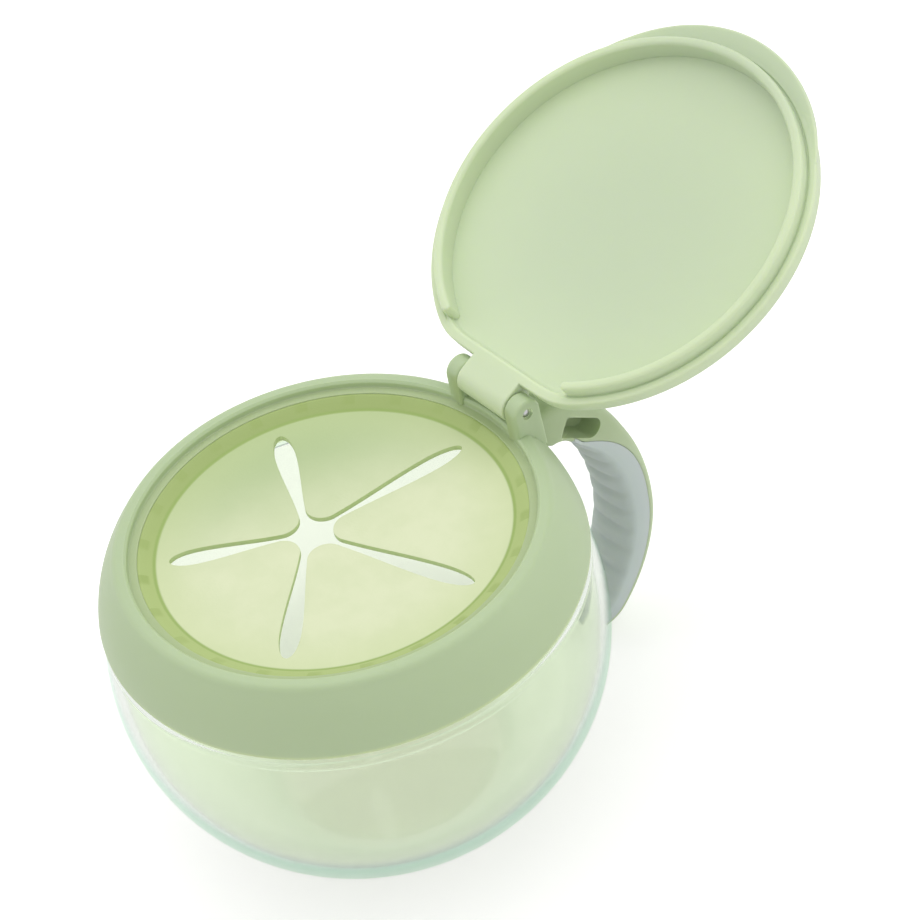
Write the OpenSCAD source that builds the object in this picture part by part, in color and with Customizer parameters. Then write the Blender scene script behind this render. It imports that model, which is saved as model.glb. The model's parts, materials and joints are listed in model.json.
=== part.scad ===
// Toddler snack container: clear cup, screw-on collar with hook handle,
// soft insert with five flaps, hinged lid with a plug wall and a thumb lip.
// Origin: centre of the base. +Z up, +Y to the hinge and handle, X along the hinge pin.

/* [Main sizes] */
// Radius of the mouth
mouth_r = 42.1; // [38:0.1:48]
// Height of the mouth's edge above the table
rim_z = 75; // [68:0.5:90]

/* [Cup] */
// How far the bowl stands out past the mouth where it is widest
bowl_out = 10.5; // [9:0.1:16]
// Drop from the skirt's lower edge to the bowl's widest place
widest_drop = 17.4; // [14:0.1:22]
// Depth below the table at which the bowl's curve would close
curve_below = 5; // [3:0.1:9]
// Squareness of the bowl's curve, 2 is an ellipse
bowl_power = 2.06; // [1.9:0.01:2.6]
// Wall thickness of the cup
cup_wall = 2.2; // [1.4:0.1:3]
// Thickness of the cup's floor
cup_floor = 3.4; // [2.4:0.1:5]
// Gap between the cup's shoulder and the skirt's lower edge
shoulder_gap = 0.4; // [0.3:0.05:0.8]
// Height that the shoulder rises to meet the neck
shoulder_rise = 1.6; // [1:0.1:2]
// How far the neck stands out past the mouth
neck_out = 1.3; // [1:0.1:1.6]
// Drop from the shoulder to the bead that runs round the cup
bead_drop = 1.8; // [1.2:0.1:3]
// How far the bead stands out
bead_h = 0.35; // [0.2:0.05:0.8]

/* [Screw thread] */
// Rise of the thread in one turn
thread_lead = 12; // [11:0.5:14]
// Number of thread starts
thread_starts = 3; // [2:1:3]
// Height of a cup ridge's lower end above the neck's foot
thread_start_h = 3.2; // [2.8:0.1:3.6]
// Angle that each thread ridge runs round
thread_sweep = 80; // [50:5:100]
// Height of a thread ridge
thread_h = 1.2; // [0.9:0.1:1.3]
// Width of a ridge at its foot
thread_foot = 1.5; // [1.2:0.1:1.7]
// Width of a ridge at its crest
thread_crest = 0.7; // [0.4:0.1:0.9]
// Radial gap between a crest and the wall that it faces
thread_gap = 0.45; // [0.35:0.05:0.6]

/* [Collar] */
// Height of the collar from the skirt's lower edge to the mouth's edge
collar_h = 13.7; // [12.5:0.1:16]
// How far the skirt stands out past the cup below it
skirt_step = 1.6; // [1:0.1:2.4]
// Wall thickness of the skirt
skirt_wall = 1.7; // [1.2:0.1:2]
// Rise of the rim's crest above the mouth's edge
rim_crest_h = 0.3; // [0.1:0.05:0.6]
// Width of the rim from the mouth to its outer bend
rim_w = 2.4; // [2:0.1:3]
// Depth of the mouth down to the lip that holds the insert
lip_depth = 1.4; // [1.2:0.1:1.6]
// Width of that lip
lip_w = 1.9; // [1.4:0.1:2.4]
// Thickness of the lip
lip_t = 1.2; // [0.8:0.1:1.6]

/* [Insert] */
// Width of the insert's ring, from the neck in to the membrane
ring_w = 3.9; // [3:0.1:6]
// Gap between the insert and the cup, and the insert and the collar
insert_gap = 0.3; // [0.2:0.05:0.4]
// Thickness of the insert's flange, clamped under the lip
flange_t = 1.2; // [0.8:0.1:1.6]
// Depth of the ring's plug inside the cup's neck
ring_plug_h = 2.2; // [1:0.1:4]
// Thickness of the membrane and its flaps
flap_t = 1.2; // [0.8:0.1:1.6]
// Depth of the membrane's top below the mouth's edge
membrane_depth = 3.4; // [3.1:0.1:4]
// Distance from a slot's outer end to the ring
slot_margin = 3; // [2:0.1:8]
// Width of a slot where it is widest
slot_w = 4.4; // [2:0.1:6]
// Width of a slot where it is narrowest
slot_neck_w = 1.6; // [1:0.1:3]
// Share of a slot's length at which it is widest
slot_wide_at = 0.8; // [0.65:0.01:0.85]
// Share of a slot's length over which it stays narrow
slot_narrow_to = 0.15; // [0.05:0.01:0.4]
// Radius of a flap's rounded tip
flap_tip_r = 4; // [2:0.1:5]
// Place where the slots meet, left or right of the cup's axis
star_x = -4.8; // [-5:0.1:5]
// Place where the slots meet, in front of or behind the axis
star_y = -3.1; // [-5:0.1:5]
// Running gap round a flap's root
flap_gap = 0.25; // [0.15:0.05:0.4]

/* [Lid] */
// How far the lid's rim reaches past the mouth
lid_out = 1.6; // [1:0.1:2]
// Gap between the lid's rim and the mouth's edge below it
lid_rise = 1.55; // [1:0.05:2]
// Height of the lid's rim band
lid_edge_h = 3.4; // [2.8:0.1:4]
// Thickness of the lid's top
lid_t = 1.6; // [1.2:0.1:2]
// Rise of the lid's dome from its rim to its middle
lid_dome_h = 2.6; // [1:0.1:4]
// Side gap between the plug wall and the mouth
plug_side_gap = 0.4; // [0.3:0.05:1]
// Thickness of the plug wall
plug_t = 2.1; // [1.2:0.1:2.4]
// Gap between the closed plug wall and the lip below it
plug_gap = 0.15; // [0.1:0.05:0.4]
// Angle of the gap in the plug wall at the hinge
plug_open_angle = 53; // [45:1:70]
// Gap between the straight rear edge of the lid and the hinge ears
lid_ear_gap = 0.35; // [0.3:0.05:1]
// Width of the lid's flat rim
lid_rim_w = 2.3; // [2.1:0.1:3]
// How far the thumb lip stands out at the front
thumb_out = 2.7; // [1:0.1:4]
// Half the angle that the thumb lip takes
thumb_half_angle = 47; // [30:1:60]
// Thickness of the thumb lip
thumb_t = 1.7; // [1.2:0.1:2.4]
// Drop of the thumb lip below the lid's rim
thumb_drop = 1.2; // [0.2:0.1:1.3]

/* [Hinge] */
// Distance from the mouth's edge to the hinge pin
hinge_out = 2.1; // [1.8:0.1:3]
// Height of the pin above the mouth's edge
hinge_rise = 5.16; // [5:0.02:6]
// Radius of the pin
pin_r = 1; // [0.8:0.05:1.3]
// Running gap between the pin and the lid's knuckle
pin_gap = 0.08; // [0.04:0.01:0.1]
// Gap between the pin and the ears that hold it
pin_fit = 0.02; // [0.01:0.01:0.04]
// Radius of the rounded top of an ear
ear_r = 3.3; // [2.8:0.1:4]
// Thickness of an ear
ear_t = 3.8; // [2.5:0.1:5]
// Half the width of the lid's knuckle
knuckle_half_w = 7.3; // [5:0.1:9]
// Side gap between the knuckle and an ear
knuckle_gap = 0.2; // [0.15:0.05:0.4]
// Depth of the recess round each end of the pin
pin_recess = 0.8; // [0.4:0.1:1.5]
// Radius of that recess
pin_recess_r = 1.35; // [1.32:0.01:1.8]
// Angle that the lid stands open in the photograph
lid_open_angle = 155.2; // [120:0.1:160]

/* [Handle] */
// Width of the handle
handle_w = 14; // [11:0.5:18]
// Distance from the bowl to the handle's outermost place
handle_reach = 22.6; // [20:0.1:30]
// Drop from the mouth's edge to that place
handle_drop = 42; // [38:0.5:50]
// Drop from the mouth's edge to the top of the handle's arm
arm_drop = 2.4; // [2:0.1:3]
// Radius of the bend from the arm into the handle
handle_bend_r = 16; // [12:0.5:20]
// Angle on the upper curve at which the bend starts
handle_bend_angle = 34.5; // [30:0.5:38]
// Angle on the lower curve at which the handle ends
handle_end_angle = 60; // [50:1:70]
// Height of the handle's lower end
handle_end_z = 2.6; // [2:0.1:20]
// Depth of the handle where the grip starts
handle_depth_top = 10; // [8:0.1:11]
// Depth of the handle at its outermost place
handle_depth_mid = 8.6; // [7:0.1:10]
// Depth of the handle at its lower end
handle_depth_end = 6; // [5:0.1:8]
// Thickness of the green outer strip at mid height
strip_t = 1.4; // [1:0.1:2]
// How late the strip widens towards the arm
strip_ease = 1.85; // [1.4:0.05:2.4]
// Half the width of the core inside the grip
core_half_w = 3.6; // [2.5:0.1:4]
// Share of the grip's depth that the core takes
core_share = 0.55; // [0.4:0.05:0.65]
// Gap between the core and the grip
grip_gap = 0.05; // [0.03:0.01:0.1]
// Spacing of the grip's ridges
ridge_pitch = 6.5; // [5:0.1:9]
// Height of the grip's ridges
ridge_h = 0.8; // [0.3:0.1:1.2]
// Depth of the pocket in each side of the arm
pocket_depth = 4.6; // [2:0.1:5]
// Height of the pocket
pocket_h = 5.2; // [3:0.1:5.5]
// Length of the pocket
pocket_l = 9.6; // [6:0.1:10]

/* [Hidden] */
$fn = 96;

// Cup and collar
skirt_z = rim_z - collar_h;
shoulder_z = skirt_z - shoulder_gap;
neck_foot_z = shoulder_z + shoulder_rise;
bead_z = shoulder_z - bead_drop;
cup_r = mouth_r + bowl_out;
cup_widest_z = skirt_z - widest_drop;
cup_curve_h = cup_widest_z + curve_below;
neck_r = mouth_r + neck_out;
neck_in_r = neck_r - cup_wall;
bore_r = neck_r + thread_h + thread_gap;
rim_r = mouth_r + rim_w;
lip_r = mouth_r - lip_w;
lip_top_z = rim_z - lip_depth;
lip_low_z = lip_top_z - lip_t;
flange_top_z = lip_low_z - insert_gap;
flange_low_z = flange_top_z - flange_t;
neck_top_z = flange_low_z - insert_gap;
thread_pitch = thread_lead / thread_starts;
cup_ridge_z = neck_foot_z + thread_start_h;
collar_ridge_z = cup_ridge_z - thread_pitch / 2;

// Insert
flap_count = 5;
ring_out_r = neck_in_r - insert_gap;
ring_r = ring_out_r - ring_w;
slot_tip_r = ring_r - slot_margin;
membrane_top_z = rim_z - membrane_depth;
membrane_low_z = membrane_top_z - flap_t;
flap_axis_z = membrane_top_z - flap_t / 2;
// How far a slot's rounded end runs past the flaps' roots
slot_over = 1.2;
// Length at each end of a flap's root that stays without its rounded nose
nose_inset = 2.6;
// Radius of that nose, a little less than half the flap's thickness
nose_r = flap_t / 2 - 0.1;

// Lid and hinge
lid_r = mouth_r + lid_out;
plug_r = mouth_r - plug_side_gap;
plug_low_z = lip_top_z + plug_gap;
lid_rim_z = rim_z + lid_rise;
lid_edge_z = lid_rim_z + lid_edge_h;
hinge_y = mouth_r + hinge_out;
hinge_z = rim_z + hinge_rise;
knuckle_r = hinge_z - lid_rim_z;
lid_chord_y = hinge_y - ear_r - lid_ear_gap;
ear_out_x = knuckle_half_w + knuckle_gap + ear_t;

// Handle: the outer curve is three arcs that run into each other
handle_out_y = cup_r + handle_reach;
handle_out_z = rim_z - handle_drop;
handle_upper_r = handle_bend_r
    + (rim_z - arm_drop - handle_bend_r - handle_out_z) / sin(handle_bend_angle);
handle_lower_r = (handle_out_z - handle_end_z) / sin(handle_end_angle);
upper_c = [handle_out_y - handle_upper_r, handle_out_z];
lower_c = [handle_out_y - handle_lower_r, handle_out_z];
bend_c = upper_c + (handle_upper_r - handle_bend_r)
    * [cos(handle_bend_angle), sin(handle_bend_angle)];
// Angle on the upper curve at which the grip starts
grip_angle = 37;
// Share by which the arm gets shallower towards the collar
arm_taper = 0.5;
// Middle of the pocket in the arm, and its slope
pocket_c = bend_c + [7.2, 4.4];
pocket_slope = 36;

// How far a cutting tool runs past the face that it cuts
reach = 1;
// Size of the small cuts along the edges
edge_cut = 0.4;
// Step that keeps two corners of a section apart
corner_step = 0.02;

// Radius of the bowl at height z, for a curve inset by t
function bowl_r(z, t) = (cup_r - t) * pow(1 - pow(abs(z - cup_widest_z)
    / (cup_curve_h - t), bowl_power), 1 / bowl_power);
skirt_r = bowl_r(skirt_z, 0) + skirt_step;
// Point of a curve bent from a by b to c
function bend(a, b, c, t) = (1 - t) * (1 - t) * a + 2 * t * (1 - t) * b + t * t * c;
// Share that grows softly from 0 to 1 with t
function smooth(t) = let (k = min(1, max(0, t))) k * k * (3 - 2 * k);
// Rise of the lid's dome at radius r
function dome_h(r) = lid_dome_h * (1 - pow(r / lid_r, 2));

module revolve(points) {
    rotate_extrude($fn = 128) polygon(points);
}

// Helical ridge on a wall of radius wall_r; out is 1 outward or -1 inward
module thread_ridge(wall_r, out, start_z) {
    steps = 16;
    root = 0.3;
    section = [[-root, thread_foot / 2], [thread_h, thread_crest / 2],
               [thread_h, -thread_crest / 2], [-root, -thread_foot / 2]];
    points = [for (i = [0:steps]) let (a = thread_sweep * i / steps,
                   fade = min(1, 4 * min(i, steps - i) / steps + 0.15))
              for (p = section) let (r = wall_r + out * (p[0] > 0 ? p[0] * fade : p[0]))
              [r * cos(a), r * sin(a), start_z + thread_lead * a / 360 + p[1] * fade]];
    sides = [for (i = [0:steps - 1]) for (j = [0:3]) let (k = (j + 1) % 4)
             [4 * i + j, 4 * i + k, 4 * i + 4 + k, 4 * i + 4 + j]];
    ends = [[3, 2, 1, 0], [for (j = [0:3]) 4 * steps + j]];
    faces = concat(sides, ends);
    polyhedron(points, out < 0 ? faces : [for (f = faces) [for (i = [len(f) - 1:-1:0]) f[i]]],
               convexity = 4);
}

module thread_ring(wall_r, out, start_z) {
    for (i = [0:thread_starts - 1])
        rotate([0, 0, 360 * i / thread_starts]) thread_ridge(wall_r, out, start_z);
}

// Cup: bowl, bead, shoulder and neck in one wall
module cup_body() {
    steps = 28;
    top_r = bowl_r(shoulder_z, 0);
    outer = [for (i = [0:steps]) let (z = shoulder_z * i / steps) [bowl_r(z, 0), z]];
    in_top_z = shoulder_z - cup_wall / 2;
    inner = [for (i = [steps:-1:0]) let (z = cup_floor + (in_top_z - cup_floor) * i / steps)
             [bowl_r(z, cup_wall), z]];
    revolve(concat([[0, 0]], outer,
        [[top_r - 0.6, shoulder_z + 0.3], [neck_r + 1.6, neck_foot_z - 0.5], [neck_r, neck_foot_z],
         [neck_r, neck_top_z - edge_cut], [neck_r - edge_cut, neck_top_z],
         [neck_in_r + edge_cut, neck_top_z], [neck_in_r, neck_top_z - edge_cut],
         [neck_in_r, neck_foot_z], [neck_in_r + 1.6, shoulder_z]],
        inner, [[0, cup_floor]]));
}

module cup() {
    color([0.80, 0.92, 0.84, 0.55]) {
        cup_body();
        thread_ring(neck_r, 1, cup_ridge_z);
        translate([0, 0, bead_z])
            rotate_extrude($fn = 128) translate([bowl_r(bead_z, 0) - edge_cut, 0])
                circle(r = edge_cut + bead_h, $fn = 24);
    }
}

// Outer outline of the collar, from the skirt's lower edge up to the mouth
function collar_outline() = let (
        low = [skirt_r, skirt_z + 0.5], shoulder = [rim_r + 1.1, rim_z - 1],
        crest = [rim_r - 0.7, rim_z + rim_crest_h],
        belly = (low + shoulder) / 2 + [1.5, 0.6])
    concat([[skirt_r - 0.5, skirt_z]],
           [for (i = [0:10]) bend(low, belly, shoulder, i / 10)],
           [for (i = [1:6]) bend(shoulder, [rim_r + 0.4, rim_z + rim_crest_h], crest, i / 6)]);

module collar_ring() {
    gap_top_z = skirt_z + 6;
    revolve(concat([[skirt_r - skirt_wall, skirt_z]], collar_outline(),
        [[mouth_r + 0.5, rim_z + rim_crest_h], [mouth_r, rim_z - 0.3], [mouth_r, lip_top_z],
         [lip_r + 0.3, lip_top_z], [lip_r, lip_top_z - 0.3], [lip_r, lip_low_z],
         [bore_r, lip_low_z], [bore_r, neck_foot_z + 0.4], [bore_r + skirt_wall, neck_foot_z + 0.4],
         [bore_r + skirt_wall, gap_top_z], [skirt_r - skirt_wall - 1.6, gap_top_z - 1],
         [skirt_r - skirt_wall, skirt_z + 2]]));
}

// Hinge ear: a rounded tab standing on the collar's rim
module ear() {
    inner_x = knuckle_half_w + knuckle_gap;
    foot_z = lip_low_z + 0.2;
    difference() {
        union() {
            translate([inner_x, hinge_y, hinge_z]) rotate([0, 90, 0])
                cylinder(r = ear_r, h = ear_t);
            translate([inner_x, hinge_y - ear_r, foot_z])
                cube([ear_t, 2 * ear_r, hinge_z - foot_z]);
        }
        translate([0, 0, foot_z - reach]) cylinder(r = mouth_r - 1.2, h = hinge_z);
    }
}

module pin_hole(x_side) {
    translate([0, hinge_y, hinge_z]) rotate([0, 90 * x_side, 0]) {
        cylinder(r = pin_r + pin_fit, h = ear_out_x + reach);
        translate([0, 0, ear_out_x - pin_recess]) cylinder(r = pin_recess_r, h = pin_recess + reach);
    }
}

module collar() {
    color([0.67, 0.75, 0.57])
        difference() {
            union() {
                collar_ring();
                thread_ring(bore_r, -1, collar_ridge_z);
                ear();
                mirror([1, 0, 0]) ear();
            }
            pin_hole(1);
            pin_hole(-1);
        }
}

module hinge_pin() {
    half_l = ear_out_x - pin_recess;
    color([0.75, 0.75, 0.77])
        translate([-half_l, hinge_y, hinge_z]) rotate([0, 90, 0])
            cylinder(r = pin_r, h = 2 * half_l);
}

// Point of the handle's outer curve at angle a
function handle_out(a) = a >= handle_bend_angle ? bend_c + handle_bend_r * [cos(a), sin(a)]
    : a >= 0 ? upper_c + handle_upper_r * [cos(a), sin(a)]
    : lower_c + handle_lower_r * [cos(a), sin(a)];
// Length along the curve from its outermost place, downward
function handle_s(a) = (a < 0 ? handle_lower_r : handle_upper_r) * -a * PI / 180;
// How far the last part of the handle narrows
function end_f(a) = a < 10 - handle_end_angle
    ? 1 - 0.4 * pow((10 - handle_end_angle - a) / 10, 2) : 1;
function handle_depth(a) = a > grip_angle ? handle_depth_top
    : a > 0 ? handle_depth_mid + (handle_depth_top - handle_depth_mid) * a / grip_angle
    : (handle_depth_mid + (handle_depth_end - handle_depth_mid) * -a / handle_end_angle) * end_f(a);
function strip_depth(a) = a > 0
    ? strip_t + (handle_depth_top - strip_t) * smooth(pow(min(a, grip_angle) / grip_angle, strip_ease))
    : strip_t * (1 + 0.5 * a / handle_end_angle);
function half_w(a) = handle_w / 2 * end_f(a);
function core_w(a) = a > grip_angle - 1 ? half_w(a) - 1.2 : core_half_w * end_f(a);
function core_top(a) = min(strip_depth(a), handle_depth(a) - 1.2);
function core_depth(a) = a > grip_angle - 1 ? handle_depth(a)
    : core_top(a) + core_share * (handle_depth(a) - core_top(a));

// Section of the handle at angle a, as x and depth below the outer curve
function frame_section(a) = let (w = half_w(a), c = core_w(a), top = core_top(a),
        e = min(1.6, 0.8 * top))
    [[-w, e], [0.3 * e - w, 0.3 * e], [e - w, 0], [w - e, 0], [w - 0.3 * e, 0.3 * e], [w, e],
     [w, top], [c, top + corner_step], [c, core_depth(a)], [-c, core_depth(a)],
     [-c, top + corner_step],
     [-w, top]];
function grip_section(a) = let (w = half_w(a), c = core_w(a) + grip_gap,
        top = core_top(a) + grip_gap + corner_step, d = handle_depth(a), crown = 0.5 * (d - top),
        ridge = ridge_h * (0.5 + 0.5 * cos(360 * handle_s(a) / ridge_pitch)))
    concat([[w, top]],
           [for (i = [0:8]) let (t = 22.5 * i) [w * cos(t), d - crown + crown * sin(t)
                - (ridge_h - ridge) * sin(t) * min(1, (d - top) / 6)]],
           [[-w, top], [-c, top + corner_step], [-c, core_depth(a) + grip_gap],
            [c, core_depth(a) + grip_gap], [c, top + corner_step]]);
// Section points carried to their place in space
function placed(section, out, angle) = [for (p = section)
    [p[0], out[0] - p[1] * cos(angle), out[1] - p[1] * sin(angle)]];

module sweep(rings) {
    n = len(rings[0]);
    m = len(rings);
    points = [for (r = rings) for (p = r) p];
    sides = [for (i = [0:m - 2]) for (j = [0:n - 1]) let (k = (j + 1) % n)
             [n * i + j, n * i + k, n * (i + 1) + k, n * (i + 1) + j]];
    polyhedron(points, concat(sides, [[for (j = [n - 1:-1:0]) j],
               [for (j = [0:n - 1]) n * (m - 1) + j]]), convexity = 10);
}

// Angles of the sections along the grip, evenly spaced along its length
grip_top_s = handle_s(grip_angle - 1);
grip_end_s = handle_s(-handle_end_angle);
grip_rings = floor((grip_end_s - grip_top_s) * 5.5 / ridge_pitch);
grip_angles = [for (i = [0:grip_rings])
    let (s = grip_top_s + (grip_end_s - grip_top_s) * i / grip_rings)
    -s / (s < 0 ? handle_upper_r : handle_lower_r) * 180 / PI];

module handle() {
    edge_top = 3;
    arm = [for (y = [hinge_y, bend_c[0] - 1]) placed(
        [for (p = frame_section(90)) [p[0], p[1] - (p[1] > edge_top ? arm_taper * (bend_c[0] - y) : 0)]],
        [y, handle_out(90)[1]], 90)];
    bent = [for (a = [90:-7.5:45]) placed(frame_section(a), handle_out(a), a)];
    hook = [for (a = grip_angles) placed(frame_section(a), handle_out(a), a)];
    color([0.67, 0.75, 0.57])
        difference() {
            sweep(concat(arm, bent, hook));
            rotate_extrude($fn = 128) polygon(concat([[0, skirt_z]], collar_outline(),
                                                     [[0, rim_z + rim_crest_h]]));
            for (side = [1, -1])
                translate([side * (handle_w - pocket_depth + reach) / 2, pocket_c[0], pocket_c[1]])
                    rotate([-pocket_slope, 0, 0])
                        cube([pocket_depth + reach, pocket_l, pocket_h], center = true);
        }
}

module handle_grip() {
    color([0.66, 0.72, 0.72])
        sweep([for (a = grip_angles) placed(grip_section(a), handle_out(a), a)]);
}

// Lid: domed top, rim band, plug wall, rear bar, knuckle and thumb lip
module lid_top() {
    steps = 14;
    rim_in_r = lid_r - lid_rim_w;
    outer = [for (i = [0:steps]) let (r = (lid_r - 1) * i / steps) [r, lid_edge_z + dome_h(r)]];
    inner = [for (i = [steps:-1:0]) let (r = rim_in_r * i / steps)
             [r, lid_edge_z + dome_h(r) - lid_t]];
    difference() {
        revolve(concat(outer, [[lid_r - 0.3, lid_edge_z - 0.4], [lid_r, lid_edge_z - 1.2],
            [lid_r, lid_rim_z + 0.4], [lid_r - 0.4, lid_rim_z], [rim_in_r + 0.2, lid_rim_z],
            [rim_in_r, lid_rim_z + 0.2]], inner));
        translate([-lid_r, lid_chord_y, lid_rim_z - 1]) cube([2 * lid_r, lid_r, 12]);
    }
}

module plug_wall() {
    foot_z = lid_edge_z - lid_t + dome_h(plug_r) + 0.2;
    rotate_extrude(angle = 360 - plug_open_angle, start = 90 + plug_open_angle / 2, $fn = 128)
        polygon([[plug_r - plug_t + edge_cut, plug_low_z], [plug_r - edge_cut, plug_low_z],
                 [plug_r, plug_low_z + edge_cut], [plug_r, foot_z], [plug_r - plug_t - edge_cut, foot_z],
                 [plug_r - plug_t, foot_z - 3 * edge_cut], [plug_r - plug_t, plug_low_z + edge_cut]]);
}

// Bar along the straight rear edge, level with the rim
module rear_bar() {
    half_l = sqrt(pow(lid_r - 1, 2) - pow(lid_chord_y, 2));
    top_z = lid_edge_z + dome_h(lid_chord_y) - 0.4;
    translate([-half_l, lid_chord_y - lid_rim_w, lid_rim_z])
        cube([2 * half_l, lid_rim_w, top_z - lid_rim_z]);
}

module knuckle() {
    difference() {
        union() {
            translate([-knuckle_half_w, hinge_y, hinge_z]) rotate([0, 90, 0])
                cylinder(r = knuckle_r, h = 2 * knuckle_half_w);
            translate([-knuckle_half_w, lid_chord_y - 1, lid_rim_z])
                cube([2 * knuckle_half_w, hinge_y - lid_chord_y + 1, 2 * knuckle_r - 2]);
        }
        translate([-knuckle_half_w - reach, hinge_y, hinge_z]) rotate([0, 90, 0])
            cylinder(r = pin_r + pin_gap, h = 2 * (knuckle_half_w + reach));
    }
}

// Crescent at the front, sloping down past the collar's rim
module thumb_lip() {
    tip = lid_r + thumb_out;
    side = lid_r * [sin(thumb_half_angle), cos(thumb_half_angle)];
    back = (tip * tip - side[0] * side[0] - side[1] * side[1]) / (2 * (tip - side[1]));
    intersection() {
        rotate_extrude($fn = 128)
            polygon([[lid_r - 1, lid_rim_z + 0.3], [lid_r, lid_rim_z + 0.1],
                     [tip + 0.1, lid_rim_z - thumb_drop],
                     [tip + 0.1, lid_rim_z - thumb_drop + thumb_t],
                     [lid_r - 1, lid_rim_z + thumb_t + 0.4]]);
        translate([0, -back, lid_rim_z - 3]) cylinder(r = tip - back, h = 8);
        translate([-lid_r, -2 * lid_r, lid_rim_z - 3]) cube([2 * lid_r, 2 * lid_r, 8]);
    }
}

// The lid is drawn closed and turned about the pin to where the photograph has it
module lid() {
    color([0.80, 0.86, 0.70])
        translate([0, hinge_y, hinge_z]) rotate([-lid_open_angle, 0, 0])
            translate([0, -hinge_y, -hinge_z]) {
                lid_top();
                plug_wall();
                rear_bar();
                knuckle();
                thumb_lip();
            }
}

// Insert: ring with a five-sided opening, and five flaps
root_r = slot_tip_r * cos(180 / flap_count);
function slot_angle(i) = 90 + 360 * i / flap_count;
function slot_tip(i) = slot_tip_r * [cos(slot_angle(i)), sin(slot_angle(i))];
star = [star_x, star_y];
// Half the width of a slot at share t of its length
function slot_half(t) = t < slot_wide_at
    ? (slot_neck_w + (slot_w - slot_neck_w)
        * smooth((t - slot_narrow_to) / (slot_wide_at - slot_narrow_to))) / 2
    : slot_w / 2 * sqrt(max(0, 1 - pow((t - slot_wide_at) / (1 - slot_wide_at), 2)));
function slot_run(i) = slot_tip(i) * (1 + slot_over / slot_tip_r) - star;
function reverse_list(v) = [for (i = [len(v) - 1:-1:0]) v[i]];
function left_of(v) = [-v[1], v[0]] / norm(v);
// One side of slot i, from its outer end in; side is 1 left or -1 right of the slot
function slot_side(i, side) = let (run = slot_run(i))
    [for (k = [18:-1:6]) star + run * k / 18 + left_of(run) * side * slot_half(k / 18)];
// Rounded tip of flap i, between the straight parts of slots i and i + 1
function flap_tip(i) = let (u = slot_run(i) / norm(slot_run(i)),
        v = slot_run(i + 1) / norm(slot_run(i + 1)), half = acos(u * v) / 2,
        mid = star + (u + v) / norm(u + v) * (slot_neck_w / 2 + flap_tip_r) / sin(half),
        from = atan2(-left_of(u)[1], -left_of(u)[0]), turn = 180 - 2 * half)
    [for (k = [0:8]) mid + flap_tip_r * [cos(from - turn * k / 8), sin(from - turn * k / 8)]];

module insert_ring() {
    hole_r = (root_r + nose_r + flap_gap) / cos(180 / flap_count);
    color([0.80, 0.84, 0.50]) {
        revolve([[ring_r, membrane_low_z], [ring_r + 0.8, flange_low_z - ring_plug_h],
                 [ring_out_r, flange_low_z - ring_plug_h], [ring_out_r, flange_low_z],
                 [bore_r - insert_gap, flange_low_z], [bore_r - insert_gap, flange_top_z],
                 [lip_r - insert_gap, flange_top_z], [lip_r - insert_gap, lip_top_z - 0.6],
                 [lip_r - insert_gap - 0.6, lip_top_z - 0.4], [ring_r, membrane_top_z]]);
        difference() {
            translate([0, 0, membrane_low_z]) cylinder(r = ring_r + 0.3, h = flap_t);
            translate([0, 0, membrane_low_z - reach]) linear_extrude(flap_t + 2 * reach)
                polygon([for (i = [0:flap_count - 1])
                         hole_r * [cos(slot_angle(i)), sin(slot_angle(i))]]);
        }
    }
}

// Flap i, from its straight root between two slot ends to its rounded tip
module flap(i) {
    a = slot_tip(i);
    b = slot_tip(i + 1);
    nose_l = norm(b - a) - 2 * nose_inset;
    outline = concat(slot_side(i, 1), flap_tip(i), reverse_list(slot_side(i + 1, -1)));
    color([0.82, 0.87, 0.55]) {
        translate([0, 0, membrane_low_z]) linear_extrude(flap_t) intersection() {
            polygon([star, a, b]);
            polygon(outline);
        }
        translate([(a[0] + b[0]) / 2, (a[1] + b[1]) / 2, flap_axis_z])
            rotate([0, 0, atan2(b[1] - a[1], b[0] - a[0])]) rotate([0, 90, 0])
                cylinder(r = nose_r, h = nose_l, center = true, $fn = 32);
    }
}

module flap_1() { flap(0); }
module flap_2() { flap(1); }
module flap_3() { flap(2); }
module flap_4() { flap(3); }
module flap_5() { flap(4); }

cup();
collar();
handle();
handle_grip();
hinge_pin();
lid();
insert_ring();
flap_1();
flap_2();
flap_3();
flap_4();
flap_5();
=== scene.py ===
"""Toddler snack container: the finished surfaces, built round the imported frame.

The cup stands on the table at z = 0. The hinge and the handle are towards +Y, and the pin lies along X.
Builders work in millimetres with the same sizes as the solids, and new_piece turns them into metres.
"""
import json
from bisect import bisect
from math import acos, atan2, cos, degrees, exp, log, pi, radians, sin, sqrt, tan, tau

import bmesh
import bpy
from mathutils import Matrix, Vector


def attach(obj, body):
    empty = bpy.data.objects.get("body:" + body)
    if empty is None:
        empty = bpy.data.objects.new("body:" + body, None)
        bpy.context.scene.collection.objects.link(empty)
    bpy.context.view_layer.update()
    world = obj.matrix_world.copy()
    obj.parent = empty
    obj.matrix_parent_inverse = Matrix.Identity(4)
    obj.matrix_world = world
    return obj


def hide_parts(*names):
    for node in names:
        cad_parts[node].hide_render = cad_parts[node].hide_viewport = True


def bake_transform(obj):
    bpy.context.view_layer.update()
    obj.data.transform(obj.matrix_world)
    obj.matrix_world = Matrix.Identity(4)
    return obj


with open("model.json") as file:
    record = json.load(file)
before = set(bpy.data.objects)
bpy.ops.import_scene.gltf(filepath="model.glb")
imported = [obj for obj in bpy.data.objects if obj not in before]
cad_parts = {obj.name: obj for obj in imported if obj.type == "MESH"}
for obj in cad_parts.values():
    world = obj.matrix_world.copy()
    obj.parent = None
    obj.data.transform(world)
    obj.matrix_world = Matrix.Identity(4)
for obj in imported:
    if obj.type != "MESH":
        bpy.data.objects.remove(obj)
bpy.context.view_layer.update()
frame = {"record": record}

MM = 0.001

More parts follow.
